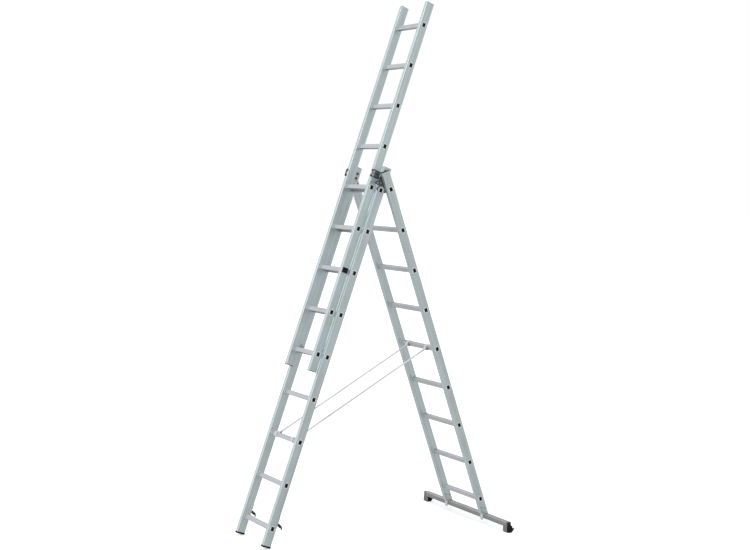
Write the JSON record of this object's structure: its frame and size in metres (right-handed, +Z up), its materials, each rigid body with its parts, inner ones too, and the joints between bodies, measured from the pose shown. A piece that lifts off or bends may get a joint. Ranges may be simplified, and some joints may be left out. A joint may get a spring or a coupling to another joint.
{
  "type": "attic ladder",
  "caption": "Three-section aluminium combination ladder opened as a step ladder with its top section pushed up above the hinge and a level stabiliser bar under the rear legs.",
  "frame": {"origin": "on the floor under the middle of the ladder's box", "axes": "+X from the middle section's feet to the stabiliser bar, +Y along the rungs, +Z up"},
  "size_m": [1.7266, 1.014, 3.4852],
  "materials": {
    "stile_aluminium": "mill finish extrusion",
    "rung_aluminium": "ribbed mill finish extrusion",
    "collar_aluminium": "cast, satin",
    "zinc_steel": "zinc plated",
    "dark_steel": "dark passivated",
    "black_plastic": "moulded",
    "grey_plastic": "moulded",
    "black_rubber": "moulded",
    "webbing": "woven"
  },
  "bodies": {
    "middle_section": {"middle_stile_right": "stile_aluminium", "middle_stile_left": "stile_aluminium", "middle_rung_1": "rung_aluminium", "middle_rung_2": "rung_aluminium", "middle_rung_3": "rung_aluminium", "middle_rung_4": "rung_aluminium", "middle_rung_5": "rung_aluminium", "middle_rung_6": "rung_aluminium", "middle_rung_7": "rung_aluminium", "middle_rung_8": "rung_aluminium", "middle_rung_9": "rung_aluminium", "middle_rung_plugs": "black_plastic", "middle_top_caps": "grey_plastic", "middle_soles": "black_rubber", "middle_hooks": "dark_steel", "middle_hook_rivets": "dark_steel", "guide_right": "zinc_steel", "guide_left": "zinc_steel", "guide_shoes": "black_plastic", "guide_bolts": "dark_steel", "pivot_collars": "collar_aluminium", "strap_right": "webbing", "strap_left": "webbing"},
    "rear_section": {"rear_stile_right": "stile_aluminium", "rear_stile_left": "stile_aluminium", "rear_rung_1": "rung_aluminium", "rear_rung_2": "rung_aluminium", "rear_rung_3": "rung_aluminium", "rear_rung_4": "rung_aluminium", "rear_rung_5": "rung_aluminium", "rear_rung_6": "rung_aluminium", "rear_rung_7": "rung_aluminium", "rear_rung_8": "rung_aluminium", "rear_rung_9": "rung_aluminium", "rear_rung_plugs": "black_plastic", "rear_top_caps": "grey_plastic", "hinge_plate_right": "dark_steel", "hinge_plate_left": "dark_steel", "rear_bolts": "dark_steel", "bar_clamps": "collar_aluminium", "stabiliser_bar": "stile_aluminium", "bar_end_caps": "grey_plastic", "bar_feet": "black_rubber"},
    "top_section": {"top_stile_right": "stile_aluminium", "top_stile_left": "stile_aluminium", "top_rung_1": "rung_aluminium", "top_rung_2": "rung_aluminium", "top_rung_3": "rung_aluminium", "top_rung_4": "rung_aluminium", "top_rung_5": "rung_aluminium", "top_rung_6": "rung_aluminium", "top_rung_7": "rung_aluminium", "top_rung_8": "rung_aluminium", "top_rung_9": "rung_aluminium", "top_rung_plugs": "black_plastic", "top_top_caps": "grey_plastic", "top_bottom_caps": "grey_plastic", "top_hooks": "dark_steel", "top_hook_rivets": "dark_steel", "cover_plate": "black_plastic"}
  },
  "joints": [
    {"name": "spread_hinge", "type": "hinge", "parent": "middle_section", "child": "rear_section", "pos_m": [-0.09478, 0, 2.25007], "axis": [0, 1, 0], "range_deg": [0, 39.76], "deforming": ["strap_right", "strap_left"]},
    {"name": "top_slide", "type": "slide", "parent": "middle_section", "child": "top_section", "axis": [0.314, 0, 0.9494], "range_m": [-1.12, 0.56]}
  ]
}
